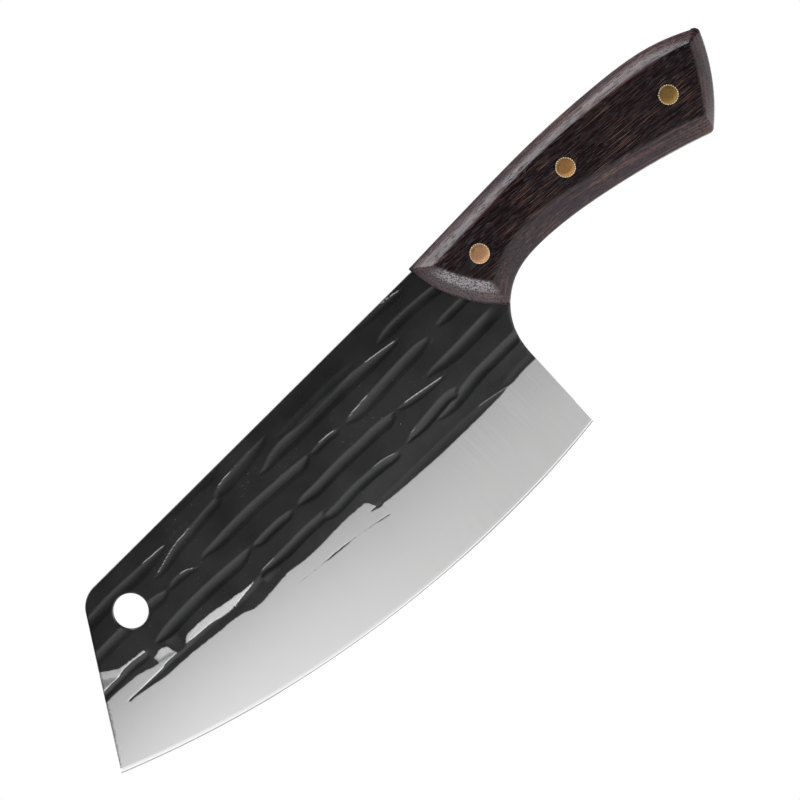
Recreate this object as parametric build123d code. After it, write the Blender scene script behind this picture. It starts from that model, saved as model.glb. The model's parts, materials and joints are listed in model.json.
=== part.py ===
from build123d import *
import os

# A forged butcher's cleaver with a full tang and a riveted two-piece wooden handle.
#
# Frame: the origin is the centre of the hanging hole, in the middle of the blade's
# thickness. +X runs along the spine from the hole to the butt of the handle, +Z runs
# from the cutting edge to the spine, and Y is the thickness, with the front scale on
# the -Y side. All lengths are in millimetres.

# ---------------------------------------------------------------- driving dimensions

# Blade, seen from the side
spine_height = 13.9            # straight spine above the hole's centre
edge_depth = 63.7              # deepest point of the cutting edge below the hole's centre
edge_deepest_x = 113.0
heel_x = 148.7                 # heel corner of the cutting edge
heel_z = -61.6
tip_x = -39.0                  # front corner of the cutting edge
tip_z = -35.0
front_top_x = -8.0             # where the slanted front would meet the spine
front_corner_radius = 9.0
hang_hole_radius = 5.75

# Blade, across its thickness
blade_thickness = 4.2
edge_thickness = 0.12
shoulder_thickness = 0.7       # where the ground bevel meets the fine cutting bevel
fine_bevel_height = 1.3
grind_height = 29.0            # width of the ground bevel, measured up from the edge

# Handle
handle_front_x = 141.0
handle_front_top_z = 15.0
handle_thickness = 20.0
scale_side_depth = 2.6         # square side of a scale between the tang and its chamfer

# Two-part cutler's rivets
rivet_places = {"front": (160.3, 2.4), "middle": (199.2, 2.6), "rear": (238.9, -4.1)}
rivet_head_radius = 3.3
rivet_head_depth = 2.5
barrel_radius = 2.4
shank_radius = 1.6
press_interference = 0.01      # shank over barrel bore, on the radius
rivet_end_gap = 0.5            # left between the barrel's mouth and the opposite head
scale_hole_clearance = 0.02    # on the radius, in the wood
tang_hole_clearance = 0.10     # on the radius, in the steel
shank_point_gap = 1.0          # left between the shank's end and the bottom of its bore

# ------------------------------------------------------------------ derived dimensions

tang_face_y = blade_thickness / 2
handle_face_y = handle_thickness / 2
scale_chamfer_y = tang_face_y + scale_side_depth
head_seat_y = handle_face_y - rivet_head_depth
barrel_mouth_y = head_seat_y - rivet_end_gap

# Corner points shared by the blade's and the handle's outlines
tip = (tip_x, tip_z)
heel = (heel_x, heel_z)
front_top = (front_top_x, spine_height)
heel_top = (149.8, -33.0)
handle_front_top = (handle_front_x, handle_front_top_z)
scale_front_bottom = (156.0, -15.9)

# Rounded corners of the butt, as the start, middle and end of an arc
butt_top = ((258.9, 5.85), (260.7, 5.0), (260.9, 3.3))
butt_bottom = ((242.4, -21.75), (241.7, -22.25), (240.5, -22.3))
flat_butt_top = ((254.8, 3.2), (255.3, 2.9), (255.1, 2.3))
flat_butt_bottom = ((243.2, -16.35), (242.75, -16.95), (242.1, -17.05))


def above(point, height):
    """The point that lies the given height above a point of the outline."""
    return (point[0], point[1] + height)


def edge_curve(rise=0.0):
    """Cutting edge from the heel to the tip, or the same curve raised by rise."""
    deepest = above((edge_deepest_x, -edge_depth), rise)
    ThreePointArc(above(heel, rise), above((132.0, -63.1), rise), deepest)
    ThreePointArc(deepest, above((38.0, -57.3), rise), above(tip, rise))


def handle_top():
    """Gently bowed back of the handle, from its front to the butt."""
    Spline(handle_front_top, (168.0, 15.8), (196.0, 16.2), (224.0, 14.7), (247.0, 10.8), butt_top[0])


def bowed_butt(top_corner, middle, bottom_corner):
    """Bowed butt between two rounded corners, from the back of the handle down to the hooked corner."""
    ThreePointArc(*top_corner)
    ThreePointArc(top_corner[-1], middle, bottom_corner[0])
    ThreePointArc(*bottom_corner)


def handle_butt():
    """Butt of the whole handle."""
    bowed_butt(butt_top, (253.3, -10.0), butt_bottom)


def blade_outline():
    """Side view of the blade and its full tang, as one face in the XZ plane."""
    with BuildSketch(Plane.XZ) as outline:
        with BuildLine():
            FilletPolyline(tip, front_top, (handle_front_x, spine_height), radius=front_corner_radius)
            Line((handle_front_x, spine_height), handle_front_top)
            handle_top()
            handle_butt()
            Spline(butt_bottom[-1], (206.0, -12.7), (178.0, -8.9), (165.0, -10.4), (154.5, -18.0), heel_top)
            Line(heel_top, heel)
            edge_curve()
        make_face()
    return outline.sketch


def below_edge_line(rise, y):
    """Face at depth y that covers everything below the edge line, raised by rise."""
    past_tip = above((tip_x - 10.0, tip_z + 3.8), rise)
    past_heel = above((heel_x + 3.0, heel_z + 0.4), rise)
    floor_z = -edge_depth - 10.0
    with BuildSketch(Plane.XZ.offset(-y)) as region:
        with BuildLine():
            edge_curve(rise)
            Polyline(above(tip, rise), past_tip, (past_tip[0], floor_z), (past_heel[0], floor_z), past_heel,
                     above(heel, rise))
        make_face()
    return region.sketch


def bevel_cutter():
    """Solid that grinds one side of the blade: a broad bevel, then a fine one at the edge."""
    grind_top = below_edge_line(grind_height, tang_face_y)
    shoulder = below_edge_line(fine_bevel_height, shoulder_thickness / 2)
    edge = below_edge_line(0.0, edge_thickness / 2)
    broad = loft([grind_top, shoulder], ruled=True)
    fine = loft([shoulder, edge], ruled=True)
    return broad + fine


def cylinder_along_y(radius, y_from, y_to, place=(0.0, 0.0)):
    """Cylinder along Y, centred on an (x, z) place."""
    length = y_to - y_from
    centre = (place[0], (y_from + y_to) / 2, place[1])
    return Location(centre) * Rotation(90, 0, 0) * Cylinder(radius, length)


def make_blade():
    """Blade and tang: one forging, ground on both sides, with its hanging and rivet holes."""
    blade = extrude(blade_outline(), tang_face_y, both=True)
    cutter = bevel_cutter()
    blade -= cutter
    blade -= mirror(cutter, Plane.XZ)
    blade -= cylinder_along_y(hang_hole_radius, -blade_thickness, blade_thickness)
    rivet_hole_radius = barrel_radius + tang_hole_clearance
    for place in rivet_places.values():
        blade -= cylinder_along_y(rivet_hole_radius, -blade_thickness, blade_thickness, place)
    return blade


def scale_outline(y):
    """Full outline of a scale, at depth y."""
    with BuildSketch(Plane.XZ.offset(-y)) as outline:
        with BuildLine():
            handle_top()
            handle_butt()
            Spline(butt_bottom[-1], (206.0, -12.7), (178.0, -8.9), (165.0, -10.4), scale_front_bottom)
            ThreePointArc(scale_front_bottom, (145.6, -2.4), handle_front_top)
        make_face()
    return outline.sketch


def scale_flat(y):
    """Outline of the flat grip face inside a scale's chamfer, at depth y."""
    front_top_corner = (147.6, 9.6)
    front_bottom_corner = (157.4, -7.6)
    with BuildSketch(Plane.XZ.offset(-y)) as outline:
        with BuildLine():
            Spline(front_top_corner, (168.0, 10.7), (196.0, 11.4), (222.0, 9.8), (242.0, 6.7),
                   flat_butt_top[0])
            bowed_butt(flat_butt_top, (250.0, -6.8), flat_butt_bottom)
            Spline(flat_butt_bottom[-1], (206.0, -6.2), (180.0, -1.6), (167.0, -3.0), front_bottom_corner)
            ThreePointArc(front_bottom_corner, (151.8, 0.2), front_top_corner)
        make_face()
    return outline.sketch


def make_front_scale():
    """Front (-Y) scale: square sides against the tang, then a broad chamfer all round."""
    side = loft([scale_outline(-tang_face_y), scale_outline(-scale_chamfer_y)], ruled=True)
    chamfer_part = loft([scale_outline(-scale_chamfer_y), scale_flat(-handle_face_y)], ruled=True)
    scale = side + chamfer_part
    barrel_hole_radius = barrel_radius + scale_hole_clearance
    head_hole_radius = rivet_head_radius + scale_hole_clearance
    for place in rivet_places.values():
        scale -= cylinder_along_y(barrel_hole_radius, -handle_thickness, 0.0, place)
        scale -= cylinder_along_y(head_hole_radius, -handle_thickness, -head_seat_y, place)
    return scale


def make_female_half(place):
    """Rivet half entered from the front: flush head, and a barrel bored from its far end."""
    bore_bottom_y = -head_seat_y + rivet_end_gap
    head = cylinder_along_y(rivet_head_radius, -handle_face_y, -head_seat_y, place)
    barrel = cylinder_along_y(barrel_radius, -head_seat_y, barrel_mouth_y, place)
    bore = cylinder_along_y(shank_radius, bore_bottom_y, barrel_mouth_y, place)
    return head + barrel - bore


def make_male_half(place):
    """Rivet half entered from the rear: flush head, and a shank driven into the barrel."""
    shank_end_y = -head_seat_y + rivet_end_gap + shank_point_gap
    head = cylinder_along_y(rivet_head_radius, head_seat_y, handle_face_y, place)
    shank = cylinder_along_y(shank_radius + press_interference, shank_end_y, head_seat_y, place)
    return head + shank


def write_node(name, shape):
    """Write one solid to its own file."""
    export_step(shape.solid(), f"parts/{name}.step")


os.makedirs("parts", exist_ok=True)

write_node("blade", make_blade())

front_scale = make_front_scale()
write_node("front_scale", front_scale)
write_node("rear_scale", mirror(front_scale, Plane.XZ))

for rivet_name, rivet_place in rivet_places.items():
    write_node(f"{rivet_name}_rivet_barrel", make_female_half(rivet_place))
    write_node(f"{rivet_name}_rivet_shank", make_male_half(rivet_place))
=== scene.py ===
import json
import math
from collections import namedtuple

import bpy
import numpy as np
from mathutils import Matrix, Vector, geometry


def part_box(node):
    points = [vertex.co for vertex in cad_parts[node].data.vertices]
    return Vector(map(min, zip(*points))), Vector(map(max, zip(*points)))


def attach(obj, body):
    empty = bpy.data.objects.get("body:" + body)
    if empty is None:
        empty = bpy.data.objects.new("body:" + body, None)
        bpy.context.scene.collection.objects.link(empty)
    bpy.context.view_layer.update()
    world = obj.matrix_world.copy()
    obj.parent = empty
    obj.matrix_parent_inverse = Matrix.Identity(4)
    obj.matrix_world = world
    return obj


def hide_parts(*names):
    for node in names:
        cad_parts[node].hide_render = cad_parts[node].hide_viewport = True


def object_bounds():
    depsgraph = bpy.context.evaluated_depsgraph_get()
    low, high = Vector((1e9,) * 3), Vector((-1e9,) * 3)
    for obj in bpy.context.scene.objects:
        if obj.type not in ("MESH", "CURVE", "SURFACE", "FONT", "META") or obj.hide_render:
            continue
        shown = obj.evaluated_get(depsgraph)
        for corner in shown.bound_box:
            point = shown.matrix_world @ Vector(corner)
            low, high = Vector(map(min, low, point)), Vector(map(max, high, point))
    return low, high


# A forged butcher's cleaver. Shapes are worked out in millimetres, in the part's frame:
# origin at the hanging hole, +X to the butt, +Z to the spine, the front face towards -Y.

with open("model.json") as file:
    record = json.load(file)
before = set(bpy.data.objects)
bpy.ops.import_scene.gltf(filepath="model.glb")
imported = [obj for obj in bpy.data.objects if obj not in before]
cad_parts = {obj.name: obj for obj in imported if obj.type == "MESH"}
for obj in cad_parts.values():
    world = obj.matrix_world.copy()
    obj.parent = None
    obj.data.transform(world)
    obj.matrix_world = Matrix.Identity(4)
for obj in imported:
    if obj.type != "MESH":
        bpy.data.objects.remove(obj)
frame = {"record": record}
cad_low, cad_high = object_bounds()

MM = 0.001
BODY = "root"
FRONT, REAR = -1.0, 1.0


# ------------------------------------------------------------------ sizes from the frame

def box_mm(node):
    """Lowest and highest corner of a CAD node, in millimetres."""
    low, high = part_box(node)
    return Vector(low) / MM, Vector(high) / MM


blade_low, blade_high = box_mm("blade")
scale_low, scale_high = box_mm("front_scale")
hang_hole = next(m for m in frame["record"]["mounts"] if m["name"] == "hang_hole")
HOLE_RADIUS = hang_hole["dims"]["r_mm"]
HALF_THICKNESS = blade_high.y
HANDLE_FACE = -scale_low.y
EDGE_DEEPEST = (113.0, blade_low.z)
TIP = (blade_low.x, -35.0)
HEEL = (148.7, -61.6)
EDGE_FRONT_MIDDLE = (38.0, -57.3)      # on the edge's arc from the tip to its deepest point
EDGE_REAR_MIDDLE = (132.0, -63.1)      # on the arc from there to the heel
BUTT_X = blade_high.x

RIVET_NAMES = ("front", "middle", "rear")


def rivet_centre(name):
    """(x, z) of a rivet's axis."""
    low, high = box_mm(f"{name}_rivet_barrel")
    return ((low.x + high.x) / 2, (low.z + high.z) / 2)


RIVET_PLACES = {name: rivet_centre(name) for name in RIVET_NAMES}
HEAD_RADIUS = (box_mm("front_rivet_barrel")[1].x - box_mm("front_rivet_barrel")[0].x) / 2
HEAD_DEPTH = 2.5
BARREL_RADIUS = 2.4
SHANK_RADIUS = 1.6
SHANK_END_Y = 6.0              # how far the shank goes past the middle, towards the front
BARREL_END_GAP = 0.5           # between the barrel's mouth and the opposite head

SPINE_Z = 13.9
FRONT_TOP_X = -8.0             # where the slanted front would meet the spine
FRONT_CORNER_RADIUS = 9.0
HEEL_TOP = (149.8, -33.0)
HANDLE_FRONT_X = 141.0
HIDDEN_X = 157.0               # behind this the scales hide the steel
SCALE_SIDE = 2.6               # square side of a scale between the tang and its chamfer

# The handle's outline and its flat grip face: the front corners, the points under the grip, and
# the bowed butt between two corners, each as the start, middle and end of an arc
HANDLE_FRONT_TOP = (HANDLE_FRONT_X, 15.0)
HANDLE_FRONT_BOTTOM = (156.0, -15.9)
UNDER_GRIP = [(206.0, -12.7), (178.0, -8.9), (165.0, -10.4)]
BUTT_TOP = ((258.9, 5.85), (260.7, 5.0), (260.9, 3.3))
BUTT_MIDDLE = (253.3, -10.0)
BUTT_BOTTOM = ((242.4, -21.75), (241.7, -22.25), (240.5, -22.3))
FLAT_FRONT_TOP = (147.6, 9.6)
FLAT_FRONT_BOTTOM = (157.4, -7.6)
FLAT_BUTT_TOP = ((254.8, 3.2), (255.3, 2.9), (255.1, 2.3))
FLAT_BUTT_MIDDLE = (250.0, -6.8)
FLAT_BUTT_BOTTOM = ((243.2, -16.35), (242.75, -16.95), (242.1, -17.05))


# ------------------------------------------------------------------ plane curves (x, z)

def circle_through(a, b, c):
    """Centre and radius of the circle through three points."""
    rows = np.array([[b[0] - a[0], b[1] - a[1]], [c[0] - a[0], c[1] - a[1]]])
    sums = np.array([b[0] ** 2 - a[0] ** 2 + b[1] ** 2 - a[1] ** 2,
                     c[0] ** 2 - a[0] ** 2 + c[1] ** 2 - a[1] ** 2])
    centre = np.linalg.solve(2 * rows, sums)
    return centre, float(np.hypot(*(np.array(a) - centre)))


def arc(a, b, c, step):
    """Points along the circular arc from a through b to c."""
    centre, radius = circle_through(a, b, c)
    angles = np.unwrap([math.atan2(p[1] - centre[1], p[0] - centre[0]) for p in (a, b, c)])
    count = max(2, int(abs(angles[2] - angles[0]) * radius / step) + 1)
    turn = np.linspace(angles[0], angles[2], count)
    return np.stack([centre[0] + radius * np.cos(turn), centre[1] + radius * np.sin(turn)], axis=1)


def smooth_curve(points, step):
    """Points along a smooth curve through the given ones, evenly spaced."""
    p = np.array(points, float)
    chord = np.concatenate([[0.0], np.cumsum(np.hypot(*np.diff(p, axis=0).T))])
    t = np.linspace(0.0, chord[-1], int(chord[-1] / step) + 1)
    return hermite(chord, p, spline_slopes(chord, p), t)


def spline_slopes(knots, values):
    """Slopes at the knots that give a cubic curve without jumps in its bending."""
    count, span = len(knots), np.diff(knots)
    steepness = np.diff(values, axis=0) / span[:, None]
    matrix, right = np.eye(count), np.gradient(values, knots, axis=0, edge_order=2)
    for i in range(1, count - 1):
        matrix[i, i - 1:i + 2] = (span[i], 2 * (span[i - 1] + span[i]), span[i - 1])
        right[i] = 3 * (span[i] * steepness[i - 1] + span[i - 1] * steepness[i])
    return np.linalg.solve(matrix, right)


def hermite(knots, values, slopes, t):
    """Cubic curve with the given values and slopes at its knots."""
    i = np.clip(np.searchsorted(knots, t) - 1, 0, len(knots) - 2)
    span = knots[i + 1] - knots[i]
    u = (t - knots[i]) / span
    if values.ndim == 2:
        span, u = span[:, None], u[:, None]
    return ((2 * u ** 3 - 3 * u ** 2 + 1) * values[i] + (u ** 3 - 2 * u ** 2 + u) * span * slopes[i]
            + (3 * u ** 2 - 2 * u ** 3) * values[i + 1] + (u ** 3 - u ** 2) * span * slopes[i + 1])


def straight(a, b, step):
    """Points along a straight line."""
    count = max(2, int(math.dist(a, b) / step) + 1)
    return np.linspace(a, b, count)


def resampled(run, count):
    """The same line with another number of points."""
    along = np.concatenate([[0.0], np.cumsum(np.hypot(*np.diff(run, axis=0).T))])
    t = np.linspace(0.0, along[-1], count)
    return np.stack([np.interp(t, along, run[:, 0]), np.interp(t, along, run[:, 1])], axis=1)


def joined(*runs):
    """One closed loop from runs that meet end to start."""
    return np.concatenate([run[:-1] for run in runs])


def edge_height(x):
    """Height of the cutting edge at x, or of the heel behind it."""
    x = np.minimum(x, HEEL[0])
    front_centre, front_radius = circle_through(TIP, EDGE_FRONT_MIDDLE, EDGE_DEEPEST)
    rear_centre, rear_radius = circle_through(EDGE_DEEPEST, EDGE_REAR_MIDDLE, HEEL)
    front = front_centre[1] - np.sqrt(np.maximum(front_radius ** 2 - (x - front_centre[0]) ** 2, 0.0))
    rear = rear_centre[1] - np.sqrt(np.maximum(rear_radius ** 2 - (x - rear_centre[0]) ** 2, 0.0))
    return np.where(x < EDGE_DEEPEST[0], front, rear)


def front_corner(step):
    """Rounded corner between the slanted front and the spine."""
    slant = math.atan2(SPINE_Z - TIP[1], FRONT_TOP_X - TIP[0])
    cut = FRONT_CORNER_RADIUS * math.tan(slant / 2)
    on_front = (FRONT_TOP_X - cut * math.cos(slant), SPINE_Z - cut * math.sin(slant))
    on_spine = (FRONT_TOP_X + cut, SPINE_Z)
    bisector = slant / 2 + math.pi / 2
    centre = (on_spine[0], SPINE_Z - FRONT_CORNER_RADIUS)
    middle = (centre[0] + FRONT_CORNER_RADIUS * math.cos(bisector),
              centre[1] + FRONT_CORNER_RADIUS * math.sin(bisector))
    return arc(on_front, middle, on_spine, step)


def handle_top(step):
    """Gently bowed back of the handle, from its front to the butt."""
    return smooth_curve([HANDLE_FRONT_TOP, (168.0, 15.8), (196.0, 16.2), (224.0, 14.7), (247.0, 10.8),
                         BUTT_TOP[0]], step)


def butt_runs(top_corner, middle, bottom_corner, step):
    """Bowed butt and its two rounded corners."""
    return [arc(*top_corner, step / 3), arc(top_corner[-1], middle, bottom_corner[0], step),
            arc(*bottom_corner, step / 3)]


def blade_loop(fine, coarse):
    """Closed outline of the blade and its tang, finely divided along the blade only."""
    corner = front_corner(fine)
    step_up = (HANDLE_FRONT_X, SPINE_Z)
    neck = smooth_curve([BUTT_BOTTOM[-1], *UNDER_GRIP, (154.5, -18.0), HEEL_TOP], coarse)
    return joined(straight(TIP, tuple(corner[0]), fine), corner,
                  straight(tuple(corner[-1]), step_up, fine),
                  straight(step_up, HANDLE_FRONT_TOP, coarse), handle_top(coarse),
                  *butt_runs(BUTT_TOP, BUTT_MIDDLE, BUTT_BOTTOM, coarse),
                  neck, straight(HEEL_TOP, HEEL, fine),
                  arc(HEEL, EDGE_REAR_MIDDLE, EDGE_DEEPEST, fine),
                  arc(EDGE_DEEPEST, EDGE_FRONT_MIDDLE, TIP, fine))


def ring(centre, radius, count):
    """Closed circle of points."""
    turn = np.linspace(0.0, 2 * math.pi, count, endpoint=False)
    return np.stack([centre[0] + radius * np.cos(turn), centre[1] + radius * np.sin(turn)], axis=1)


def inset(loop, depth):
    """The loop moved inwards by depth; the outline runs clockwise seen from the front."""
    along = np.roll(loop, -1, axis=0) - np.roll(loop, 1, axis=0)
    along /= np.maximum(np.hypot(along[:, 0], along[:, 1]), 1e-9)[:, None]
    return loop + depth * np.stack([along[:, 1], -along[:, 0]], axis=1)


def distance_to_loop(points, loop, block=1500):
    """Distance from each point to the nearest place on a closed loop."""
    start, end = loop, np.roll(loop, -1, axis=0)
    run = end - start
    length_squared = np.maximum((run ** 2).sum(axis=1), 1e-12)
    found = []
    for first in range(0, len(points), block):
        gap = points[first:first + block, None, :] - start[None]
        t = np.clip((gap * run[None]).sum(axis=2) / length_squared, 0.0, 1.0)
        off = gap - t[..., None] * run[None]
        found.append(np.sqrt((off ** 2).sum(axis=2).min(axis=1)))
    return np.concatenate(found)


def inside_loop(points, loop, block=1500):
    """True for each point inside a closed loop."""
    x0, z0 = loop[:, 0], loop[:, 1]
    x1, z1 = np.roll(x0, -1), np.roll(z0, -1)
    rise = np.where(z1 == z0, 1e-12, z1 - z0)
    result = []
    for first in range(0, len(points), block):
        px, pz = points[first:first + block, 0, None], points[first:first + block, 1, None]
        crosses = (z0 > pz) != (z1 > pz)
        at_x = x0 + (pz - z0) * (x1 - x0) / rise
        result.append((crosses & (px < at_x)).sum(axis=1) % 2 == 1)
    return np.concatenate(result)


def smooth_step(t):
    """Smooth rise from 0 to 1 as t goes from 0 to 1."""
    t = np.clip(t, 0.0, 1.0)
    return t * t * (3.0 - 2.0 * t)


# ------------------------------------------------------------------ forged and ground faces

# One hammer groove along the blade. Its crest runs from left to right, and its width is measured
# down from the crest and narrows over the left and right lengths. The deepest line lies at the share
# "turn" of the width, and "steep" is the slope just below the crest. Between the pair of places that
# follows "turn", the crest shows bare bright steel: partly wear, partly a painted highlight.
Groove = namedtuple("Groove", "crest width left right turn rubbed steep", defaults=(0.58, None, 0.17))

GROOVES = [
    # beside the spine
    Groove([(28, 15.2), (38, 15.4), (54, 14.4)], 4.0, 7, 8, 0.45),
    Groove([(68, 14.8), (84, 14.6), (98, 14.6), (118, 13.8)], 7.0, 18, 18, 0.35, None, 0.05),
    Groove([(112, 14.0), (124, 13.7), (131, 13.0), (135.5, 12.0)], 2.6, 12, 8, 0.5, (125, 135)),
    # second row
    Groove([(-24, 8.0), (-14, 8.3), (0, 8.8), (8, 8.5), (15, 8.1), (23.5, 7.5)],
           4.1, 6, 18, 0.55, (12, 23.5)),
    Groove([(44.5, 7.3), (47, 8.4), (50, 9.0), (55, 9.4), (62, 9.8), (71, 9.7)],
           4.2, 6, 15, 0.52, (46, 56)),
    Groove([(116.5, 5.2), (119, 6.3), (122, 6.9), (127, 7.0), (133, 6.8), (139, 6.3), (147, 5.5)],
           3.5, 7, 2, 0.5),
    # third row
    Groove([(12.5, 2.1), (16, 2.9), (20, 4.0), (25, 5.2), (31, 5.7), (38, 6.4), (46.5, 6.9)],
           3.1, 12, 3, 0.6, (13, 33)),
    Groove([(60, 2.3), (64, 3.2), (67, 4.3), (70, 4.8), (80, 4.9), (92, 5.0), (102, 4.6), (112, 3.4),
            (123, 1.6)], 4.5, 16, 26, 0.68, (108, 122.5)),
    Groove([(72, 7.0), (84, 7.8), (94, 8.0), (108, 6.8)], 3.8, 14, 14, 0.7, None, 0.06),
    # fourth row
    Groove([(-26, -1.7), (-10, -1.4), (2, -1.5), (9, -1.9), (13, -3.2)], 3.6, 4, 5, 0.78),
    Groove([(14, -3.4), (15.5, -2.6), (17.5, -2.3), (20, -2.6), (22.5, -3.4), (25.6, -5.4)],
           2.5, 3, 7, 0.6, (18, 25.5)),
    Groove([(27.8, -4.3), (29.5, -3.3), (33, -2.9), (39, -2.5), (45, -2.3), (52, -2.4), (60, -2.9),
            (69, -3.5), (76, -4.2)], 3.7, 14, 6, 0.78),
    Groove([(76.5, -4.8), (79, -4.3), (82, -4.2), (85, -4.4), (88.7, -5.1)], 2.1, 3, 1.5, 0.6, (79, 88.5)),
    Groove([(91.8, -5.7), (94, -5.1), (100, -4.5), (106, -4.1), (114, -3.7), (122, -3.5), (126, -3.7),
            (130, -4.8)], 4.1, 8, 8, 0.72, (92, 104)),
    Groove([(134.3, -4.2), (136, -3.4), (139, -3.1), (144, -3.1), (154, -3.2)], 3.0, 5, 6, 0.52),
    # fifth row
    Groove([(-36, -11.2), (-21, -11.4), (-10, -11.8), (-4.8, -12.7)], 3.0, 4, 3, 0.55, (-21, -5.2)),
    Groove([(-1.6, -12.7), (0, -12.0), (3, -11.4), (8, -10.9), (14, -10.7), (22, -10.8), (32, -11.3),
            (42, -12.2)], 4.0, 8, 9, 0.68, (-1.5, 0.5)),
    Groove([(42.5, -12.6), (46, -12.2), (51, -12.1), (56, -12.4), (59.8, -13.3)], 2.9, 4, 4, 0.68),
    Groove([(62, -13.6), (64, -12.8), (70, -12.6), (80, -12.3), (90, -12.6), (100, -13.0), (105, -13.9)],
           3.8, 8, 5, 0.70),
    Groove([(106, -14.0), (112, -14.8), (118, -15.9), (125.6, -17.3)], 2.3, 6, 14, 0.6, (108, 125)),
    Groove([(120, -13.7), (122, -13.0), (128, -12.7), (137, -12.5), (146, -12.2), (156, -11.9)],
           4.6, 18, 2, 0.52),
    # sixth row
    Groove([(36.8, -21.8), (38.5, -20.7), (43, -20.3), (50, -20.2), (58, -20.1), (67, -20.6)],
           3.4, 14, 4, 0.56, (37, 46)),
    Groove([(64, -22.0), (72, -21.9), (79, -21.6), (86, -22.0), (92, -22.6), (97.6, -24.3)],
           3.2, 6, 5, 0.6, (86, 97.5)),
    Groove([(101.3, -24.2), (103, -23.3), (106, -22.6), (111, -22.0), (116, -21.6), (121, -21.4),
            (125, -22.4)], 3.5, 10, 3, 0.72, (102, 108)),
    Groove([(113, -25.7), (119, -25.0), (125, -23.9), (132, -23.0), (140, -22.9), (154, -22.9)],
           3.9, 14, 2, 0.5),
    # last row
    Groove([(78, -31.0), (90, -31.0), (105, -31.1), (118, -31.5), (128, -32.4), (138, -34.4)],
           3.6, 6, 10, 0.5, (124, 138), 0.05),
    Groove([(136, -32.6), (142, -31.6), (154, -31.6)], 3.4, 4, 2, 0.5, None, 0.05),
]

# Places where the face was struck deeper, so that the grinder missed them: the crest above a
# hollow, the reach line at which the grinder meets its floor again, the width of its wall, and the
# lengths over which its left and right ends fade.
Hollow = namedtuple("Hollow", "crest reach wall left right")

SIXTH_REACH = [(-24, -20.5), (-15, -21.2), (-5, -22.7), (5, -23.8), (15, -24.6), (22, -25.2), (26, -26.2),
               (29, -27.5), (33, -27.9), (38, -27.6), (46, -26.6)]

HOLLOWS = [
    Hollow([(-34, -11.8), (-20, -12.1), (-10, -12.4), (0, -14.0)],
           [(-34, -15.0), (-15, -15.9), (-7, -15.6), (0, -15.0)], 2.6, 2, 4),
    Hollow([(-23, -19.0), (-14, -19.5), (-6, -19.9), (2, -19.9)], SIXTH_REACH, 1.0, 2.5, 3),
    Hollow([(-8, -18.8), (4, -19.6), (15, -20.1), (22, -20.9), (28, -21.5), (38, -21.0)],
           SIXTH_REACH, 2.2, 8, 0.5),
    Hollow([(32, -22.4), (38, -22.8), (46, -24.0)], SIXTH_REACH, 2.2, 3, 3),
    Hollow([(0.6, -14.6), (5.8, -14.6)], [(0.6, -22.0), (5.8, -22.0)], 6.0, 1.6, 1.4),
    Hollow([(78.2, -26.6), (82, -25.2), (92, -24.0), (120, -24.0), (154, -24.0)],
           [(78, -31.0), (82, -31.6), (90, -32.9), (100, -33.8), (110, -34.4), (124, -34.3), (130, -33.8),
            (136, -34.0), (142, -33.8), (154, -34.3)], 7.0, 1.6, 1),
    Hollow([(76.2, -31.0), (80, -31.4), (84, -31.6)], [(76, -31.7), (80, -32.0), (86, -32.6)], 0.6, 1.2, 3),
    # a long scratch in the ground bevel, with a patch of black left in it
    Hollow([(26, -29.3), (45, -31.2), (56, -32.3), (62, -32.8), (70, -33.9), (84, -36.6)],
           [(26, -29.5), (45, -31.6), (55, -32.8), (59, -33.7), (65, -34.3), (70, -34.5), (84, -37.0)],
           0.5, 6, 3),
]

FACE_HALF = HALF_THICKNESS - 0.04
SHOULDER_HALF = 0.35           # half thickness where the ground bevel ends
EDGE_HALF = 0.06
FINE_BEVEL = 1.3               # height of the fine bevel above the edge
CORNER_ROUNDING = 0.35
GRIND_BLEND = 0.012            # how softly the bevel meets the skimmed face

# Slope of the ground bevel at places along the blade
GRIND_SLOPES = [(-40, 0.0541), (-20, 0.0567), (0, 0.0579), (20, 0.0569), (35, 0.0565), (45, 0.0562),
                (60, 0.0543), (78, 0.0520), (95, 0.0545), (125, 0.0579), (160, 0.0560)]

# Line above which the grinder left the forged face alone
SKIM_EDGE = [(-40, 4.0), (-21.3, -7.2), (-16, -10.6), (-8, -11.4), (-5.6, -11.8), (-4.6, -15.0),
             (-1.5, -15.2), (0, -15.9), (1.2, -17.3), (3, -19.6), (5, -19.8), (6, -19.0), (8, -18.3),
             (12, -18.3), (20, -19.2), (28, -20.3), (35.4, -21.5), (35.9, -30.0), (160, -60.0)]
SKIM_SLOPE = 0.045
SKIM_LIMITS = (-2.8, 12.0)     # how far below and above that line the slope goes on

MIRRORED_AT = 118.0            # the rear's grooves lie at this less x


def curve_height(points, x):
    """Height at x of a smooth curve through the given points."""
    points = np.array(points, float)
    inside = np.clip(x, points[0, 0], points[-1, 0])
    return hermite(points[:, 0], points[:, 1], np.gradient(points[:, 1], points[:, 0]), inside)


def end_fade(shape, x):
    """How far x lies from the two ends of a groove or hollow: 0 at an end, 1 past its fading length."""
    start, end = shape.crest[0][0], shape.crest[-1][0]
    return np.clip((x - start) / shape.left, 0.0, 1.0), np.clip((end - x) / shape.right, 0.0, 1.0)


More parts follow.
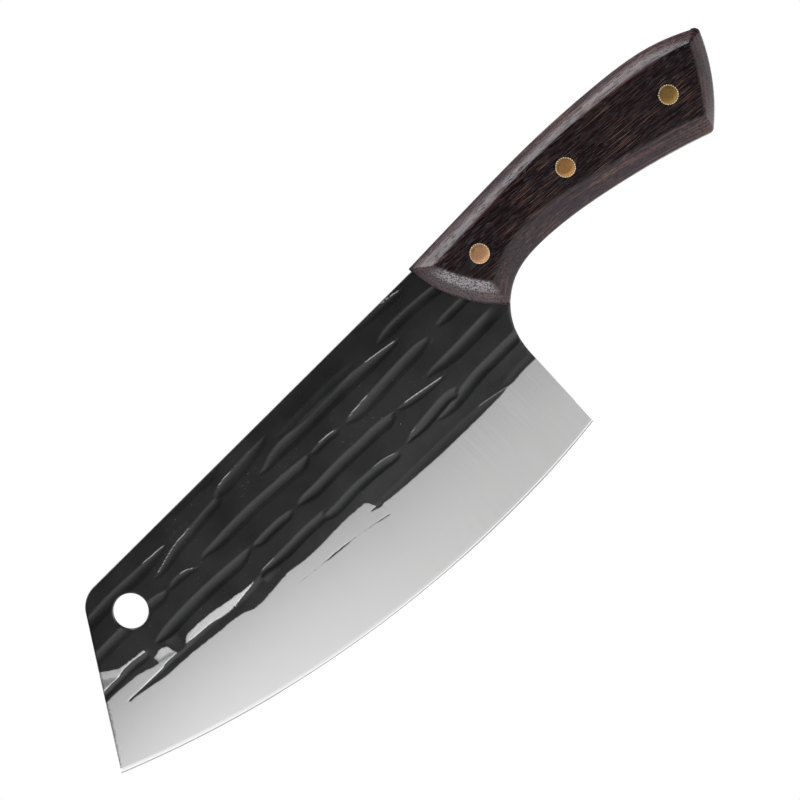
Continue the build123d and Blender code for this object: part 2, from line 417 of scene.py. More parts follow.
def groove_depth(groove, x, z):
    """How deep one groove sinks the surface, and its bare-steel crest: wear and painted highlight."""
    from_left, from_right = end_fade(groove, x)
    width = groove.width * (np.sin(0.5 * math.pi * from_left) * np.sin(0.5 * math.pi * from_right)) ** 0.6
    width = np.maximum(width, 1e-6)
    below = curve_height(groove.crest, x) - z
    across = np.clip(below / width, 0.0, 1.0)
    off_deepest = np.where(across < groove.turn, 1.0 - across / groove.turn,
                           (across - groove.turn) / (1.0 - groove.turn))
    depth = 0.5 * groove.steep * groove.turn * width * (1.0 - off_deepest ** 2)
    # bare steel on the crest between the given places: partly wear, partly a painted highlight
    rubbed = np.zeros_like(x)
    if groove.rubbed:
        first, last = groove.rubbed
        near_crest = np.exp(-((below - 0.05) / 0.26) ** 2)
        rubbed = smooth_step((x - first) / 2.5) * smooth_step((last - x) / 1.5) * near_crest
    return depth, rubbed


def hollow_depth(hollow, x, z):
    """How deep one hollow sinks the surface."""
    from_left, from_right = end_fade(hollow, x)
    fade = np.sqrt(smooth_step(from_left) * smooth_step(from_right))
    below = curve_height(hollow.crest, x) - z
    wall = hollow.wall * (0.15 + 0.85 * fade)
    floor = np.clip(FACE_HALF - ground_half(x, curve_height(hollow.reach, x)), 0.0, None)
    return floor * fade * np.sin(0.5 * math.pi * np.clip(below / wall, 0.0, 1.0))


def waves(x, z, seed, size, count=7):
    """Gentle seeded undulation between about -1 and 1, with features of about the given size."""
    draw = np.random.default_rng(seed)
    total = np.zeros_like(x)
    for _ in range(count):
        heading, phase = draw.uniform(0.0, 2 * math.pi, 2)
        rate = 2 * math.pi / (size * draw.uniform(0.7, 1.6))
        total += np.sin(rate * (x * math.cos(heading) + z * math.sin(heading)) + phase)
    return total / math.sqrt(count)


def forged_half(x, z, side):
    """Half thickness of the hammered face, and its crests of bare steel (wear and painted highlight). The
    rear's grooves run the other way.
    """
    run = x if side == FRONT else MIRRORED_AT - x
    depth, grooved, rubbed = np.zeros_like(x), np.zeros_like(x), np.zeros_like(x)
    for hollow in HOLLOWS:
        depth = np.maximum(depth, hollow_depth(hollow, x, z))
    for groove in GROOVES:
        one_depth, one_crest_mark = groove_depth(groove, run, z)
        grooved += one_depth
        rubbed = np.maximum(rubbed, one_crest_mark)
    dents = 0.016 * waves(x, z, 5 + int(side), 17.0) + 0.003 * waves(x, z, 9 + int(side), 4.0)
    return FACE_HALF - depth - grooved + dents, rubbed


def bevel_half(x, z):
    """Half thickness at the ground bevel, a little uneven along the blade."""
    return SHOULDER_HALF + curve_height(GRIND_SLOPES, x) * (z - edge_height(x) - FINE_BEVEL)


def skim_half(x, z):
    """Half thickness where the grinder only skims the crests of the forged face, above the bevel."""
    edge_x, edge_z = np.array(SKIM_EDGE).T
    return FACE_HALF + SKIM_SLOPE * np.clip(z - np.interp(x, edge_x, edge_z), *SKIM_LIMITS)


def ground_half(x, z):
    """Half thickness that the grinder leaves."""
    both = np.exp(-bevel_half(x, z) / GRIND_BLEND) + np.exp(-skim_half(x, z) / GRIND_BLEND)
    broad = -GRIND_BLEND * np.log(both)
    fine = EDGE_HALF + (SHOULDER_HALF - EDGE_HALF) * np.clip(z - edge_height(x), 0.0, None) / FINE_BEVEL
    return np.minimum(broad, fine)


def blade_half(x, z, side):
    """Half thickness of the blade, how far the grinder went below the forged face, and the bare-steel
    crests (wear and painted highlight).
    """
    forged, rubbed = forged_half(x, z, side)
    ground = ground_half(x, z)
    # the tang is flat where the scales lie on it
    in_handle = smooth_step((x - 146.0) / 8.0) * smooth_step((z + 22.0) / 6.0)
    forged = forged + in_handle * (HALF_THICKNESS - forged)
    return np.minimum(forged, ground), forged - ground, rubbed


# ------------------------------------------------------------------ mesh building

def triangulate(loops, loose):
    """Triangles over the region inside the first loop and outside the others."""
    points = np.concatenate(list(loops) + [loose])
    edges, first = [], 0
    for loop in loops:
        ids = np.arange(first, first + len(loop))
        edges += list(zip(ids.tolist(), np.roll(ids, -1).tolist()))
        first += len(loop)
    verts, _, faces, _, _, _ = geometry.delaunay_2d_cdt([Vector(p) for p in points], edges, [], 0, 1e-7)
    verts = np.array([tuple(v) for v in verts])
    faces = np.array(faces)
    middle = verts[faces].mean(axis=1)
    keep = inside_loop(middle, loops[0])
    for hole in loops[1:]:
        keep &= ~inside_loop(middle, hole)
    faces = faces[keep]
    a, b, c = verts[faces[:, 0]], verts[faces[:, 1]], verts[faces[:, 2]]
    turn = (b[:, 0] - a[:, 0]) * (c[:, 1] - a[:, 1]) - (b[:, 1] - a[:, 1]) * (c[:, 0] - a[:, 0])
    faces[turn < 0] = faces[turn < 0][:, ::-1]
    return verts, faces


def boundary_edges(faces):
    """Directed edges that only one triangle uses."""
    edges = np.concatenate([faces[:, [0, 1]], faces[:, [1, 2]], faces[:, [2, 0]]])
    seen = {(int(a), int(b)) for a, b in edges}
    return [(a, b) for a, b in seen if (b, a) not in seen]


def new_object(name, verts_mm, faces, material, sharp_angle):
    """Mesh object in metres, smooth except at sharp edges, riding on the part."""
    mesh = bpy.data.meshes.new(name)
    mesh.from_pydata([tuple(v) for v in np.asarray(verts_mm) * MM], [], faces)
    mesh.validate()
    mesh.materials.append(material)
    mesh.polygons.foreach_set("use_smooth", [True] * len(mesh.polygons))
    mesh.set_sharp_from_angle(angle=math.radians(sharp_angle))
    piece = bpy.data.objects.new(name, mesh)
    bpy.context.scene.collection.objects.link(piece)
    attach(piece, BODY)
    return piece


def add_attribute(piece, name, values):
    """Give each vertex of a piece a number that its material can read."""
    data = piece.data.attributes.new(name, "FLOAT", "POINT")
    data.data.foreach_set("value", np.asarray(values, np.float32))


def plate(verts, faces, front_y, rear_y):
    """Closed mesh between a front and a rear height over the same plane triangles."""
    count = len(verts)
    front = np.stack([verts[:, 0], front_y, verts[:, 1]], axis=1)
    rear = np.stack([verts[:, 0], rear_y, verts[:, 1]], axis=1)
    all_faces = [tuple(f) for f in faces.tolist()]
    all_faces += [tuple(f) for f in (faces[:, ::-1] + count).tolist()]
    all_faces += [(b, a, a + count, b + count) for a, b in boundary_edges(faces)]
    return np.concatenate([front, rear]), all_faces


# ------------------------------------------------------------------ node helpers

RANGE_SOCKETS = ("From Min", "From Max", "To Min", "To Max")


class Nodes:
    """Short way to build a material's node tree."""

    def __init__(self, name):
        self.material = bpy.data.materials.new(name)
        self.material.use_nodes = True
        self.tree = self.material.node_tree
        self.tree.nodes.clear()
        self.shader = self.add("ShaderNodeBsdfPrincipled")
        out = self.add("ShaderNodeOutputMaterial")
        self.link(self.shader.outputs[0], out.inputs["Surface"])
        self.position = self.add("ShaderNodeTexCoord").outputs["Object"]

    def add(self, kind, **settings):
        """New node with the given settings."""
        node = self.tree.nodes.new(kind)
        for key, value in settings.items():
            setattr(node, key, value)
        return node

    def link(self, source, target):
        self.tree.links.new(source, target)

    def put(self, target, value):
        """Link a socket, or set a number."""
        if isinstance(value, bpy.types.NodeSocket):
            self.link(value, target)
        else:
            target.default_value = value

    def scaled(self, x, y, z):
        """Object position times a rate per metre along each axis."""
        node = self.add("ShaderNodeMapping")
        node.inputs["Scale"].default_value = (x, y, z)
        self.link(self.position, node.inputs["Vector"])
        return node.outputs[0]

    def turn_about_y(self, degrees):
        """Turn the position that later patterns use."""
        node = self.add("ShaderNodeVectorRotate", rotation_type="Y_AXIS")
        node.inputs["Angle"].default_value = math.radians(degrees)
        self.link(self.position, node.inputs["Vector"])
        self.position = node.outputs[0]

    def along_x(self):
        """Place along the blade, in metres."""
        node = self.add("ShaderNodeSeparateXYZ")
        self.link(self.position, node.inputs[0])
        return node.outputs["X"]

    def noise(self, vector, detail=3.0, roughness=0.55, distortion=0.0):
        """Noise between 0 and 1 over a scaled position."""
        node = self.add("ShaderNodeTexNoise")
        node.inputs["Scale"].default_value = 1.0
        node.inputs["Detail"].default_value = detail
        node.inputs["Roughness"].default_value = roughness
        node.inputs["Distortion"].default_value = distortion
        self.link(vector, node.inputs["Vector"])
        return node.outputs[0]

    def math(self, operation, a, b):
        """Sum, difference, product or the larger of two numbers."""
        node = self.add("ShaderNodeMath", operation=operation)
        self.put(node.inputs[0], a)
        self.put(node.inputs[1], b)
        return node.outputs[0]

    def ramp(self, value, low, high, out_low=0.0, out_high=1.0):
        """Smooth step of value from low to high, mapped to an output range."""
        node = self.add("ShaderNodeMapRange", interpolation_type="SMOOTHSTEP")
        self.put(node.inputs["Value"], value)
        for key, number in zip(RANGE_SOCKETS, (low, high, out_low, out_high)):
            node.inputs[key].default_value = number
        return node.outputs[0]

    def mix(self, factor, a, b):
        """Blend of two colours."""
        node = self.add("ShaderNodeMix", data_type="RGBA")
        self.put(node.inputs["Factor"], factor)
        for socket, value in ((node.inputs[6], a), (node.inputs[7], b)):
            if isinstance(value, tuple):
                socket.default_value = (*value, 1.0)
            else:
                self.link(value, socket)
        return node.outputs[2]

    def blend(self, factor, a, b):
        """Blend of two numbers."""
        node = self.add("ShaderNodeMix", data_type="FLOAT")
        self.put(node.inputs["Factor"], factor)
        self.put(node.inputs[2], a)
        self.put(node.inputs[3], b)
        return node.outputs[0]

    def attribute(self, name):
        """Number stored on the mesh under a name."""
        return self.add("ShaderNodeAttribute", attribute_name=name).outputs["Fac"]

    def bump(self, height, strength, distance):
        """Normal of a fine relief, with its depth in metres."""
        node = self.add("ShaderNodeBump")
        node.inputs["Strength"].default_value = strength
        node.inputs["Distance"].default_value = distance
        self.link(height, node.inputs["Height"])
        return node.outputs[0]

    def surface(self, color, roughness, metallic=None, normal=None):
        """Connect the finished patterns to the shader."""
        self.link(color, self.shader.inputs["Base Color"])
        self.link(roughness, self.shader.inputs["Roughness"])
        if metallic is not None:
            self.put(self.shader.inputs["Metallic"], metallic)
        if normal is not None:
            self.link(normal, self.shader.inputs["Normal"])


# ------------------------------------------------------------------ materials

def blade_material():
    """Black forge scale where the grinder didn't reach, bright brushed steel where it did."""
    m = Nodes("blade_steel")
    # the brushing runs from the edge to the spine
    brushing = m.noise(m.scaled(2600, 60, 40), detail=3.0, roughness=0.6)
    cloud = m.noise(m.scaled(55, 55, 55), detail=4.0)
    grain = m.noise(m.scaled(1800, 1800, 700), detail=2.0)
    fleck = m.noise(m.scaled(2600, 2600, 2600), detail=1.0)

    fray = m.math("MULTIPLY", m.math("SUBTRACT", grain, 0.5), 0.035)
    cut = m.math("ADD", m.attribute("ground"), fray)
    bare = m.ramp(cut, -0.006, 0.010)
    # bare steel on the groove crests: partly wear, partly a painted highlight
    crest_mark = m.math("ADD", m.attribute("rubbed"), m.math("MULTIPLY", fray, 8.0))
    rubbed = m.ramp(crest_mark, 0.45, 1.0, 0.0, 0.6)
    chips = m.math("MULTIPLY", m.ramp(fleck, 0.76, 0.80), m.ramp(cloud, 0.45, 0.6, 0.0, 0.6))
    bright = m.math("MAXIMUM", bare, m.math("MAXIMUM", rubbed, chips))

    oxide = m.mix(m.ramp(cloud, 0.3, 0.7), (0.0028, 0.0028, 0.003), (0.0065, 0.0064, 0.0065))
    fresh = m.mix(m.ramp(brushing, 0.3, 0.7), (0.495, 0.495, 0.493), (0.53, 0.53, 0.528))
    # painted shade: the polish is made darker towards the heel
    brushed = m.mix(m.ramp(m.along_x(), -0.04, 0.155), fresh, (0.336, 0.336, 0.334))
    above_edge = m.attribute("above_edge")
    # brightest where the grinder skims the forged face, above the bevel
    buffed = m.mix(m.attribute("buffed"), brushed, (0.76, 0.76, 0.758))
    # painted highlight: a thin bright line above the honed edge; painted shade: the honed edge itself made
    # darker
    edge_with_painted_highlight = m.mix(m.ramp(above_edge, 0.95, 0.55), buffed, (0.62, 0.62, 0.618))
    steel = m.mix(m.ramp(above_edge, 0.50, 0.30), edge_with_painted_highlight, (0.24, 0.24, 0.24))
    color = m.mix(bright, oxide, steel)
    oxide_rough = m.ramp(cloud, 0.3, 0.7, 0.27, 0.33)
    steel_rough = m.ramp(brushing, 0.3, 0.7, 0.22, 0.27)
    roughness = m.blend(bright, oxide_rough, steel_rough)
    relief = m.blend(bright, grain, m.math("MULTIPLY", brushing, 0.35))
    m.shader.inputs["Specular IOR Level"].default_value = 0.62
    m.surface(color, roughness, bright, m.bump(relief, 0.1, 0.00003))
    return m.material


def wood_material():
    """Oiled dark hardwood: fine lengthwise fibres, thin brown streaks, growth rings and open pores, and a
    painted sheen on the front chamfer.
    """
    m = Nodes("handle_wood")
    # the grain falls a little towards the butt
    m.turn_about_y(-5.0)
    wander = m.noise(m.scaled(45, 90, 90), detail=2.0)
    fibre = m.noise(m.scaled(50, 1900, 1900), detail=3.0, roughness=0.6)
    streak = m.noise(m.scaled(85, 3900, 3900), detail=2.0, roughness=0.5)
    # growth rings lie flat in the slab, so the chamfers cut across them
    rings = m.noise(m.scaled(16, 1500, 60), detail=2.0, roughness=0.5, distortion=0.4)
    pore = m.noise(m.scaled(260, 3300, 3300), detail=1.5, roughness=0.5)
    grit = m.noise(m.scaled(1700, 2300, 2300), detail=1.5)

    pores = m.ramp(pore, 0.60, 0.66)
    brown = m.math("MULTIPLY", m.ramp(streak, 0.575, 0.615), m.ramp(wander, 0.42, 0.58, 0.25, 1.0))
    ground = m.mix(m.ramp(fibre, 0.35, 0.68), (0.0016, 0.0007, 0.0010), (0.0108, 0.0034, 0.0062))
    # the chamfers are made a little paler and more purple than the grip face
    chamfer = m.attribute("chamfer")
    paler_chamfer_tone = m.mix(m.ramp(fibre, 0.35, 0.68), (0.0080, 0.0034, 0.0062), (0.0190, 0.0093, 0.0158))
    ring_lines = m.math("MULTIPLY", m.ramp(rings, 0.54, 0.60), chamfer)
    ringed = m.mix(ring_lines, m.mix(chamfer, ground, paler_chamfer_tone), (0.0600, 0.0250, 0.0270))
    streaked = m.mix(m.math("MULTIPLY", brown, 0.8), ringed, (0.120, 0.062, 0.046))
    oiled = m.mix(m.math("MULTIPLY", pores, 0.85), streaked, (0.0015, 0.0010, 0.0010))
    # painted sheen: the cut fibre ends on the front chamfer are painted pale, broken by dark pits
    wear_and_painted_sheen = m.math("MULTIPLY", m.attribute("wear_and_painted_sheen"), m.ramp(grit, 0.57, 0.45, 0.10, 1.0))
    color = m.mix(wear_and_painted_sheen, oiled, (0.250, 0.236, 0.246))
    fibre_rough = m.ramp(fibre, 0.3, 0.7, 0.20, 0.32)
    roughness = m.math("ADD", fibre_rough, m.math("MULTIPLY", pores, 0.35))
    relief = m.math("SUBTRACT", m.math("MULTIPLY", fibre, 0.35), m.math("MULTIPLY", pores, 1.5))
    m.shader.inputs["Specular IOR Level"].default_value = 0.28
    m.surface(color, roughness, None, m.bump(relief, 0.6, 0.0001))
    return m.material


def brass_material(name, low, high):
    """Brass ground flush with the wood: fine scratches, a slight tarnish and a painted glint on the beaded
    rim.
    """
    m = Nodes(name)
    scratches = m.noise(m.scaled(500, 500, 3200), detail=3.0)
    speckle = m.noise(m.scaled(2400, 2400, 2400), detail=3.0)
    wear_and_painted_sheen = m.mix(m.ramp(speckle, 0.42, 0.58), low, high)
    # painted glint: the raised beads of the rim are painted bright
    color = m.mix(m.attribute("rim"), wear_and_painted_sheen, (1.0, 0.84, 0.58))
    roughness = m.ramp(scratches, 0.3, 0.7, 0.32, 0.5)
    m.surface(color, roughness, 1.0, m.bump(scratches, 0.3, 0.00004))
    return m.material


def floor_material():
    """Pale grey studio floor, lit a little from within."""
    m = Nodes("pale_floor")
    cloud = m.noise(m.scaled(3, 3, 3), detail=2.0)
    color = m.mix(cloud, (0.44, 0.44, 0.44), (0.47, 0.47, 0.47))
    m.surface(color, m.ramp(cloud, 0.3, 0.7, 0.85, 0.95))
    m.shader.inputs["Emission Color"].default_value = (1.0, 1.0, 1.0, 1.0)
    m.shader.inputs["Emission Strength"].default_value = 0.8
    return m.material


# ------------------------------------------------------------------ pieces

def blade_points(loop):
    """Loose points over the blade: close rows on the forged face, wider ones on the bevel and tang."""
    column_step, row_step, tang_step = 0.9, 0.34, 6.0
    bevel_rows = np.concatenate([[0.45, 0.9, 1.3, 1.7, 2.4], np.arange(3.4, 20.0, 1.2)])
    points = []
    for x in np.arange(TIP[0] + 0.5, HIDDEN_X + 1.0, column_step):
        edge = float(edge_height(x))
        points += [(x, edge + rise) for rise in bevel_rows]
        first = math.ceil((edge + bevel_rows[-1] + row_step) / row_step)
        last = int(SPINE_Z / row_step)
        points += [(x, row * row_step) for row in range(first, last)]
    for x in np.arange(HIDDEN_X + 3.0, BUTT_X, tang_step):
        points += [(x, z) for z in np.arange(-20.0, 15.0, tang_step)]
    points = np.array(points)
    return points[inside_loop(points, loop)]


def make_blade():
    """Blade and tang as one closed mesh, hammered and ground on both faces."""
    outline = blade_loop(0.6, 1.5)
    hole_points, rivet_hole_points = 96, 24
    hang = ring((0.0, 0.0), HOLE_RADIUS, hole_points)
    rivet_holes = [ring(place, BARREL_RADIUS + 0.1, rivet_hole_points) for place in RIVET_PLACES.values()]
    rounding = (0.1, 0.22, CORNER_ROUNDING)
    loose = blade_points(outline)
    clear = distance_to_loop(loose, outline) > 0.55
    clear &= np.hypot(loose[:, 0], loose[:, 1]) > HOLE_RADIUS + 0.75
    for place in RIVET_PLACES.values():
        clear &= np.hypot(loose[:, 0] - place[0], loose[:, 1] - place[1]) > BARREL_RADIUS + 0.6
    loose = loose[clear]
    # rows for the rounded corners, along the outline in front of the handle and round the hole
    shown = (outline[:, 0] < HIDDEN_X + 1.0) & (outline[:, 1] > edge_height(outline[:, 0]) + 0.5)
    rims = [inset(outline, depth)[shown] for depth in rounding]
    rims += [ring((0.0, 0.0), HOLE_RADIUS + depth, hole_points) for depth in rounding]
    verts, faces = triangulate([outline, hang, *rivet_holes], np.concatenate([loose, *rims]))

    x, z = verts[:, 0], verts[:, 1]
    edge_gap = np.minimum(distance_to_loop(verts, outline), np.abs(np.hypot(x, z) - HOLE_RADIUS))
    near = np.clip(CORNER_ROUNDING - edge_gap, 0.0, CORNER_ROUNDING)
    rounded = CORNER_ROUNDING - np.sqrt(CORNER_ROUNDING ** 2 - near ** 2)
    rounded *= x < HIDDEN_X
    heights, ground, rubbed = {}, {}, {}
    for side in (FRONT, REAR):
        half, ground[side], rubbed[side] = blade_half(x, z, side)
        # thin places near the edge are rounded less
        heights[side] = side * np.maximum(half - rounded * np.clip(half, 0.0, 1.0), EDGE_HALF * 0.8)
        # the tang's rim, which shows between the scales, is bright steel
        on_tang_rim = (edge_gap < 0.01) & (x > HIDDEN_X)
        ground[side] = np.where(on_tang_rim, 1.0, ground[side])
    mesh_verts, mesh_faces = plate(verts, faces, heights[FRONT], heights[REAR])
    piece = new_object("forged_blade", mesh_verts, mesh_faces, blade_material(), 40)
    above_edge = np.clip(z - edge_height(x), 0.0, 3.0)
    buffed = smooth_step((bevel_half(x, z) - skim_half(x, z)) / 0.16 + 0.4) * (x < HANDLE_FRONT_X)
    # the crests' bare steel is partly wear, partly a painted highlight
    for name, by_side in (("ground", ground), ("rubbed", rubbed)):
        add_attribute(piece, name, np.concatenate([by_side[FRONT], by_side[REAR]]))
    for name, values in (("above_edge", above_edge), ("buffed", buffed)):
        add_attribute(piece, name, np.tile(values, 2))
    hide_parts("blade")
    return piece


def scale_loops(step):
    """A scale's outline at the tang and that of its grip face, and how far each point faces the blade.

    The two outlines have matching points.
    """
    outer = [handle_top(step), *butt_runs(BUTT_TOP, BUTT_MIDDLE, BUTT_BOTTOM, step),
             smooth_curve([BUTT_BOTTOM[-1], *UNDER_GRIP, HANDLE_FRONT_BOTTOM], step),
             arc(HANDLE_FRONT_BOTTOM, (145.6, -2.4), HANDLE_FRONT_TOP, step)]
    inner = [smooth_curve([FLAT_FRONT_TOP, (168.0, 10.7), (196.0, 11.4), (222.0, 9.8), (242.0, 6.7),
                           FLAT_BUTT_TOP[0]], step),
             *butt_runs(FLAT_BUTT_TOP, FLAT_BUTT_MIDDLE, FLAT_BUTT_BOTTOM, step),
             smooth_curve([FLAT_BUTT_BOTTOM[-1], (206.0, -6.2), (180.0, -1.6), (167.0, -3.0),
                           FLAT_FRONT_BOTTOM], step),
             arc(FLAT_FRONT_BOTTOM, (151.8, 0.2), FLAT_FRONT_TOP, step)]
    matched = [resampled(run, len(other)) for run, other in zip(inner, outer)]
    along_front = np.linspace(0.0, 1.0, len(outer[-1]) - 1)
    at_front = np.zeros(sum(len(run) - 1 for run in outer))
    at_front[-len(along_front):] = smooth_step(along_front / 0.12) * smooth_step((1.0 - along_front) / 0.25)
    return joined(*outer), joined(*matched), at_front


def scale_profile(c):
    """Height of the wood above the tang across its chamfer: c is 0 at the outline, 1 at the grip face."""
    bulge = 0.09 * np.sin(math.pi * np.clip(c, 0.0, 1.0))
    full = HANDLE_FACE - HALF_THICKNESS
    return SCALE_SIDE + (full - SCALE_SIDE) * np.clip(c + bulge, 0.0, 1.0)


def make_scale(name, side, wood):
    """One wooden slab: square against the tang, chamfered all round, bored for the rivet heads."""
    outer, inner, at_front = scale_loops(1.1)
    on_flat = 2.0              # level given to points on the grip face
    levels = np.array([0.04, 0.1, 0.2, 0.32, 0.44, 0.56, 0.68, 0.78, 0.86, 0.92, 0.97, 1.02, 1.08, 1.16])
    rings = [outer + (inner - outer) * level for level in levels]
    ring_levels = np.repeat(levels, len(outer))
    heads = [ring(place, HEAD_RADIUS + 0.03, 72) for place in RIVET_PLACES.values()]
    grid_step = 1.6
    grid = np.array([(x, z) for x in np.arange(148.0, 258.0, grid_step)
                     for z in np.arange(-20.0, 14.0, grid_step)])
    last_ring = rings[-1]
    grid = grid[inside_loop(grid, last_ring)]
    grid = grid[distance_to_loop(grid, last_ring) > 0.8]
    for place in RIVET_PLACES.values():
        grid = grid[np.hypot(grid[:, 0] - place[0], grid[:, 1] - place[1]) > HEAD_RADIUS + 0.6]
    verts, faces = triangulate([outer, *heads], np.concatenate([*rings, grid]))
    known = np.concatenate([outer, *heads, *rings, grid])
    head_points = sum(map(len, heads))
    level = np.concatenate([np.zeros(len(outer)), np.full(head_points, on_flat), ring_levels,
                            np.full(len(grid), on_flat)])
    # triangulating reorders the points, so each one looks up the level it was given
    order = [int(np.argmin(((known - v) ** 2).sum(axis=1))) for v in verts]
    c = level[order]
    # painted sheen on the inner part of the front chamfer
    painted_sheen_band = (0.16 + 0.84 * smooth_step((levels - 0.40) / 0.2)) * smooth_step((1.04 - levels) / 0.1)
    wear_and_painted_sheen = np.concatenate([np.zeros(len(outer) + head_points), np.outer(painted_sheen_band, at_front).ravel(),
                           np.zeros(len(grid))])[order]
    # the chamfer's upper corner is rubbed round, and its lower one has a small bevel
    soft, lower_bevel = 0.04, 0.25
    top = np.where(c < 1.5, 1.0 - soft * np.log1p(np.exp((1.0 - c) / soft)), 1.0)
    height = scale_profile(np.clip(top, 0.0, 1.0))
    height = np.where(c == 0.0, SCALE_SIDE - lower_bevel, height)
    x, z = verts[:, 0], verts[:, 1]
    outward = side * (HALF_THICKNESS + height + 0.02 * waves(x, z, 21, 15.0) * (c > 0.0))
    flat = np.full(len(verts), side * HALF_THICKNESS)
    front_y, rear_y = (outward, flat) if side == FRONT else (flat, outward)
    mesh_verts, mesh_faces = plate(verts, faces, front_y, rear_y)
    piece = new_object(name + "_wood", mesh_verts, mesh_faces, wood, 50)
    add_attribute(piece, "wear_and_painted_sheen", np.concatenate([wear_and_painted_sheen, wear_and_painted_sheen]))
    add_attribute(piece, "chamfer", np.tile(smooth_step((1.1 - c) / 0.14), 2))
    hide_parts(name)
    return piece


def lathe(profile, place, segments, notched_rows, notch):
    """Closed surface of revolution about an axis along Y.

    The profile's (radius, y) points start and end on the axis. Every other pair of points along the
    notched rows moves along Y by notch.
    """
    verts = [(place[0], profile[0][1], place[1])]
    for row, (radius, y) in enumerate(profile[1:-1]):
        for k in range(segments):
            turn = 2 * math.pi * k / segments
            depth = y + (notch if row in notched_rows and k % 4 > 1 else 0.0)
            verts.append((place[0] + radius * math.cos(turn), depth, place[1] + radius * math.sin(turn)))
    verts.append((place[0], profile[-1][1], place[1]))
    faces = []
    for k in range(segments):
        after = (k + 1) % segments
        faces.append((0, 1 + after, 1 + k))
        for row in range(len(profile) - 3):
            low, high = 1 + row * segments, 1 + (row + 1) * segments
            faces.append((low + k, low + after, high + after, high + k))
        last = 1 + (len(profile) - 3) * segments
        faces.append((last + k, last + after, len(verts) - 1))
    return verts, faces


def make_rivet_half(name, place, side, brass):
    """Head ground flush and very slightly crowned, with a beaded rim, and its barrel or shank."""
    face, seat = side * HANDLE_FACE, side * (HANDLE_FACE - HEAD_DEPTH)
    stem = BARREL_RADIUS if side == FRONT else SHANK_RADIUS
    stem_end = -seat + side * BARREL_END_GAP if side == FRONT else -side * SHANK_END_Y
    profile = [(0.0, face + side * 0.05), (1.6, face + side * 0.04), (2.65, face + side * 0.02),
               (2.85, face - side * 0.05), (3.0, face + side * 0.03), (3.2, face + side * 0.02),
               (HEAD_RADIUS, face - side * 0.10), (HEAD_RADIUS, seat), (stem, seat), (stem, stem_end),
               (0.0, stem_end)]
    segments, beaded_rows, bead_depth = 104, (3, 4), 0.10
    verts, faces = lathe(profile, place, segments, beaded_rows, -side * bead_depth)
    if side == REAR:
        faces = [f[::-1] for f in faces]
    piece = new_object(name + "_brass", verts, faces, brass, 50)
    # the rim's raised beads carry a painted glint
    raised = [float((i - 1) // segments in beaded_rows and (i - 1) % 4 < 2) for i in range(len(verts))]
    add_attribute(piece, "rim", raised)
    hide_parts(name)
    return piece


# ------------------------------------------------------------------ stage, light and camera

def make_floor():
    """Floor just under the cutting edge, in metres."""
    low, high = (-0.30, -0.36), (0.55, 0.36)
    height = cad_low.z - 0.0002
    mesh = bpy.data.meshes.new("floor")
    corners = [(low[0], low[1], height), (high[0], low[1], height), (high[0], high[1], height),
               (low[0], high[1], height)]
    mesh.from_pydata(corners, [], [(0, 1, 2, 3)])
    mesh.materials.append(floor_material())
    floor = bpy.data.objects.new("floor", mesh)
    bpy.context.scene.collection.objects.link(floor)


def make_world():
    """Studio that is dim around the horizon and bright overhead, with a white backdrop."""
    world = bpy.data.worlds.new("studio")
    bpy.context.scene.world = world
    world.use_nodes = True
    nodes, links = world.node_tree.nodes, world.node_tree.links
    nodes.clear()
    seen = nodes.new("ShaderNodeBackground")
    seen.inputs["Color"].default_value = (1.0, 1.0, 1.0, 1.0)
    seen.inputs["Strength"].default_value = 1.0
    height = nodes.new("ShaderNodeSeparateXYZ")
    links.new(nodes.new("ShaderNodeTexCoord").outputs["Generated"], height.inputs[0])
    # dim at the horizon, darker above it, brighter again overhead: heights, then strengths
    parts = []
    for limits in ((0.0, 0.26, 0.14, 0.03), (0.55, 0.95, 0.0, 0.57)):
        part = nodes.new("ShaderNodeMapRange")
        for key, number in zip(RANGE_SOCKETS, limits):
            part.inputs[key].default_value = number
        links.new(height.outputs["Z"], part.inputs["Value"])
        parts.append(part)
    glow = nodes.new("ShaderNodeMath")
    glow.operation = "ADD"
    links.new(parts[0].outputs[0], glow.inputs[0])
    links.new(parts[1].outputs[0], glow.inputs[1])
    cast = nodes.new("ShaderNodeBackground")
    cast.inputs["Color"].default_value = (0.96, 0.98, 1.0, 1.0)
    links.new(glow.outputs[0], cast.inputs["Strength"])
    path = nodes.new("ShaderNodeLightPath")
    mix = nodes.new("ShaderNodeMixShader")
    out = nodes.new("ShaderNodeOutputWorld")
    links.new(path.outputs["Is Camera Ray"], mix.inputs[0])
    links.new(cast.outputs[0], mix.inputs[1])
    links.new(seen.outputs[0], mix.inputs[2])
    links.new(mix.outputs[0], out.inputs[0])


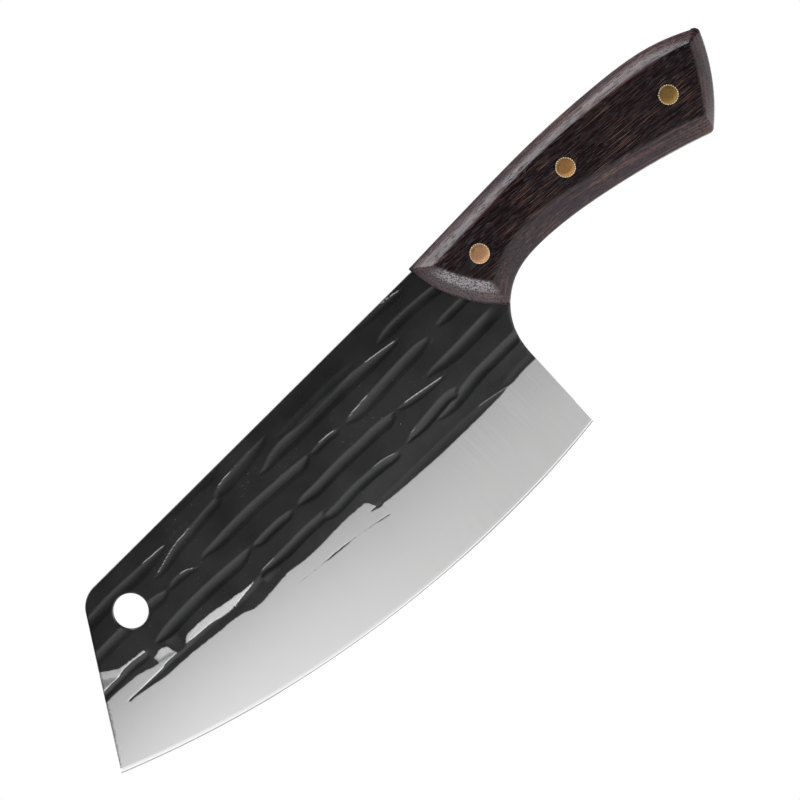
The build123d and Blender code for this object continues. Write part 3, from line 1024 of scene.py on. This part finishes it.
def area_light(name, place, aim, size, power):
    """Soft rectangular light aimed at a point, in metres and watts."""
    light = bpy.data.lights.new(name, "AREA")
    light.shape = "RECTANGLE"
    light.size, light.size_y = size
    light.energy = power
    lamp = bpy.data.objects.new(name, light)
    lamp.location = place
    lamp.rotation_euler = (Vector(aim) - Vector(place)).to_track_quat("-Z", "Y").to_euler()
    lamp.visible_camera = False
    bpy.context.scene.collection.objects.link(lamp)


def make_lights():
    """A broad soft light above the object and a weaker one at its front left."""
    area_light("overhead", (0.05, -0.14, 0.55), (0.05, -0.14, 0.0), (1.0, 0.36), 9.0)
    area_light("front_left", (-0.9, -0.30, 0.10), (0.15, 0.0, 0.0), (0.5, 0.35), 4.0)


def make_camera():
    """Square on to the front face and rolled, so that the handle points up and to the right."""
    roll = math.radians(45.19)
    across = Vector((math.sin(roll), 0.0, -math.cos(roll)))
    upward = Vector((math.cos(roll), 0.0, math.sin(roll)))
    backward = across.cross(upward)
    lens, sensor = 180.0, 36.0
    frame_width = 0.25757
    # the middle of the picture, measured from the hanging hole across and up the picture
    centre = across * 0.08661 + upward * 0.06788
    camera_data = bpy.data.cameras.new("camera")
    camera_data.lens, camera_data.sensor_width = lens, sensor
    camera = bpy.data.objects.new("camera", camera_data)
    turned = Matrix((across, upward, backward)).transposed()
    distance = frame_width * lens / sensor
    camera.matrix_world = Matrix.Translation(centre + backward * distance) @ turned.to_4x4()
    bpy.context.scene.collection.objects.link(camera)
    bpy.context.scene.camera = camera


# ------------------------------------------------------------------ make everything

bpy.context.scene.view_settings.view_transform = "Standard"
make_camera()
make_world()
make_lights()
make_floor()

make_blade()
wood = wood_material()
make_scale("front_scale", FRONT, wood)
make_scale("rear_scale", REAR, wood)
BRASS_TONES = {
    "front": ((0.51, 0.265, 0.13), (0.63, 0.35, 0.185)),
    "middle": ((0.39, 0.20, 0.072), (0.49, 0.265, 0.10)),
    "rear": ((0.25, 0.145, 0.047), (0.32, 0.195, 0.065)),
}
for rivet, centre in RIVET_PLACES.items():
    brass = brass_material(f"{rivet}_brass", *BRASS_TONES[rivet])
    make_rivet_half(f"{rivet}_rivet_barrel", centre, FRONT, brass)
    make_rivet_half(f"{rivet}_rivet_shank", centre, REAR, brass)
